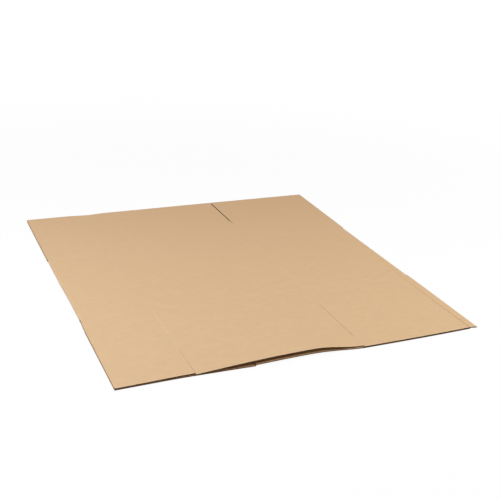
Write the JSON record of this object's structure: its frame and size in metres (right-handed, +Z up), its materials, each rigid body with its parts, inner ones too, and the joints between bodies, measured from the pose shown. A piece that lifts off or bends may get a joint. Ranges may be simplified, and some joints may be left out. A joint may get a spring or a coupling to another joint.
{
  "type": "flattened cardboard box",
  "caption": "Plain kraft corrugated box folded flat: a creased, slotted and glued sheet in two layers, with flaps in line with the panels and a front flap bulging up.",
  "frame": {"origin": "on the surface the pack lies on, under the middle of its outline", "axes": "+X along the front cut end, left fold to right fold; +Y from the front cut end to the back one, along the flutes; +Z up"},
  "size_m": [1.006, 1.07, 0.0211],
  "materials": {
    "card": "plain brown kraft, matt"
  },
  "bodies": {
    "root": {"folded_sheet": "card"}
  },
  "joints": []
}
